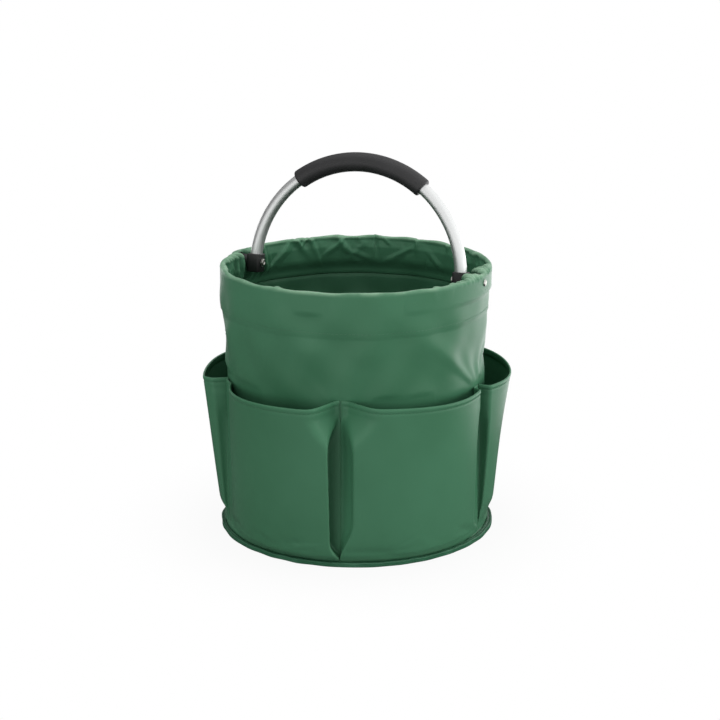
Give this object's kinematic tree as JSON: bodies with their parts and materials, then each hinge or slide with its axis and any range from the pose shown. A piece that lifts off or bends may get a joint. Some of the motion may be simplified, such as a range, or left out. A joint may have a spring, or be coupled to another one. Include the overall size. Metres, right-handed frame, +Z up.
{
  "type": "garden tool bag",
  "caption": "Round soft tool bag of coated fabric with outside pockets, a hooped rim and a swinging tubular bail handle with a foam grip, for carrying garden hand tools.",
  "frame": {"origin": "centre of the bag's underside, on the plane it stands on", "axes": "+Z up; X along the handle's pivot axis, with the handle leaning 8 degrees back to +Y; the pictured side faces -Y and a little towards +X"},
  "size_m": [0.337, 0.341, 0.405],
  "materials": {
    "coated_fabric": "satin PVC-coated polyester, dark green",
    "binding_tape": "woven binding tape, dark green",
    "stiffener": "plain polyethylene sheet",
    "tube": "satin anodised tube",
    "foam": "matt closed-cell foam",
    "nylon": "black moulded nylon",
    "rivet_steel": "nickel-plated steel"
  },
  "bodies": {
    "bag": {"side_wall": "coated_fabric", "rim_hoop": "stiffener", "base_panel": "coated_fabric", "base_board": "stiffener", "base_binding": "binding_tape", "pocket_right": "coated_fabric", "pocket_back": "coated_fabric", "pocket_left": "coated_fabric", "pocket_front_left": "coated_fabric", "pocket_front_right": "coated_fabric", "pivot_rivet_right": "rivet_steel", "pivot_rivet_left": "rivet_steel", "rivet_washer_right": "rivet_steel", "rivet_washer_left": "rivet_steel", "hub_washer_right": "nylon", "hub_washer_left": "nylon"},
    "handle": {"handle_tube": "tube", "grip_sleeve": "foam", "socket_right": "nylon", "socket_left": "nylon"}
  },
  "joints": [
    {"name": "handle_swing", "type": "hinge", "parent": "bag", "child": "handle", "pos_m": [0, 0, 0.28], "axis": [1, 0, 0], "range_deg": [-82, 98]}
  ]
}
